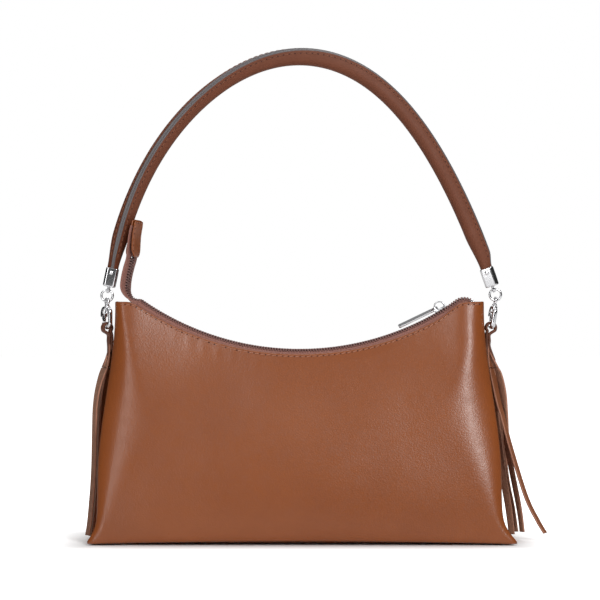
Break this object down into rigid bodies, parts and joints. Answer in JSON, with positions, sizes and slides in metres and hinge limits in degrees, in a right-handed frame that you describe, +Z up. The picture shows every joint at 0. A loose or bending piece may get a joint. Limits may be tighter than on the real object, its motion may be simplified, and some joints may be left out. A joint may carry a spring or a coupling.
{
  "type": "baguette bag",
  "caption": "Leather baguette shoulder bag with a curved zip top, free zip tail with tab, swivel lobster clasps, padded arch strap and leather fringe tassels at the sides.",
  "frame": {"origin": "centre of the base panel's underside, on the surface that the bag stands on", "axes": "+Z up, the front panel faces -Y, +X to the right as seen from the front"},
  "size_m": [0.3039, 0.076, 0.3249],
  "materials": {
    "leather": "smooth, semi-gloss",
    "strap_leather": "smooth, semi-gloss",
    "fringe_leather": "cut strips, flesh side rough",
    "lining": "matt woven",
    "board": "matt",
    "cord": "matt",
    "tape": "matt woven",
    "teeth": "dark, satin",
    "nickel": "polished"
  },
  "bodies": {
    "bag": {"front_panel": "leather", "back_panel": "leather", "base_panel": "leather", "base_board": "board", "left_gusset": "leather", "right_gusset": "leather", "lining": "lining", "zip_tape_front": "tape", "zip_tape_back": "tape", "zip_teeth_front": "teeth", "zip_teeth_back": "teeth", "zip_stop_front": "nickel", "zip_stop_back": "nickel", "left_loop_tab": "leather", "right_loop_tab": "leather", "left_tassel_head": "fringe_leather", "right_tassel_head": "fringe_leather"},
    "zip_slider": {"zip_slider": "nickel"},
    "zip_pull": {"zip_pull": "nickel"},
    "zip_tail": {"zip_tail_tape_front": "tape", "zip_tail_tape_back": "tape", "zip_tail_teeth_front": "teeth", "zip_tail_teeth_back": "teeth", "zip_end_tab": "leather"},
    "strap": {"strap_leather": "strap_leather", "strap_core": "cord", "left_strap_cap": "nickel", "right_strap_cap": "nickel", "left_cap_rivet": "nickel", "right_cap_rivet": "nickel", "left_strap_ring": "nickel", "right_strap_ring": "nickel"},
    "left_eye": {"left_clasp_eye": "nickel"},
    "left_hook": {"left_clasp_hook": "nickel", "left_clasp_pin": "nickel", "left_clasp_spring": "nickel"},
    "left_lever": {"left_clasp_lever": "nickel"},
    "left_tassel": {"left_tassel": "fringe_leather"},
    "right_eye": {"right_clasp_eye": "nickel"},
    "right_hook": {"right_clasp_hook": "nickel", "right_clasp_pin": "nickel", "right_clasp_spring": "nickel"},
    "right_lever": {"right_clasp_lever": "nickel"},
    "right_tassel": {"right_tassel": "fringe_leather"}
  },
  "joints": [
    {"name": "zip_slide", "type": "hinge", "parent": "bag", "child": "zip_slider", "pos_m": [0, 0, 0.3072], "axis": [0, 1, 0], "range_deg": [0, 50], "deforming": ["zip_teeth_front", "zip_teeth_back"]},
    {"name": "pull_swing", "type": "hinge", "parent": "zip_slider", "child": "zip_pull", "pos_m": [0.09086, 0, 0.15268], "axis": [0, 1, 0], "range_deg": [0, 100]},
    {"name": "zip_tail_swing", "type": "hinge", "parent": "bag", "child": "zip_tail", "pos_m": [-0.1045, 0, 0.1583], "axis": [0, 1, 0], "range_deg": [0, 45]},
    {"name": "clasp_swing", "type": "hinge", "parent": "bag", "child": "left_eye", "pos_m": [-0.12696, 0, 0.1434], "axis": [1, 0, 0], "range_deg": [-20, 20]},
    {"name": "left_swivel", "type": "hinge", "parent": "left_eye", "child": "left_hook", "pos_m": [-0.12696, 0, 0.1516], "axis": [0, 0, 1], "range_deg": [-8, 8]},
    {"name": "left_lever_press", "type": "hinge", "parent": "left_hook", "child": "left_lever", "pos_m": [-0.12911, 0.00319, 0.148], "axis": [-0.829, -0.5592, 0], "range_deg": [0, 28], "stiffness_Nm_per_rad": 0.005, "springref_deg": -11.46, "deforming": ["left_clasp_spring"]},
    {"name": "left_tassel_swing", "type": "hinge", "parent": "bag", "child": "left_tassel", "pos_m": [-0.1316, 0, 0.1132], "axis": [0, 1, 0], "range_deg": [0, 60]},
    {"name": "right_ring_swing", "type": "hinge", "parent": "strap", "child": "right_eye", "pos_m": [0.12918, 0, 0.15738], "axis": [1, 0, 0], "range_deg": [-105, 105]},
    {"name": "right_swivel", "type": "hinge", "parent": "right_eye", "child": "right_hook", "pos_m": [0.12823, 0, 0.15168], "axis": [0.1564, 0, 0.9877], "range_deg": [-8, 8]},
    {"name": "right_lever_press", "type": "hinge", "parent": "right_hook", "child": "right_lever", "pos_m": [0.12708, 0.0038, 0.14821], "axis": [-0.9755, -0.1564, 0.1545], "range_deg": [0, 28], "stiffness_Nm_per_rad": 0.005, "springref_deg": -11.46, "deforming": ["right_clasp_spring"]},
    {"name": "right_tassel_swing", "type": "hinge", "parent": "bag", "child": "right_tassel", "pos_m": [0.1336, 0, 0.1132], "axis": [0, -1, 0], "range_deg": [0, 60]},
    {"name": "strap_swing", "type": "hinge", "parent": "left_eye", "child": "strap", "pos_m": [-0.12696, 0, 0.15738], "axis": [1, 0, 0], "range_deg": [-105, 105]}
  ],
  "couplings": [
    {"joint": "right_ring_swing", "follows": "strap_swing", "ratio": -1}
  ]
}
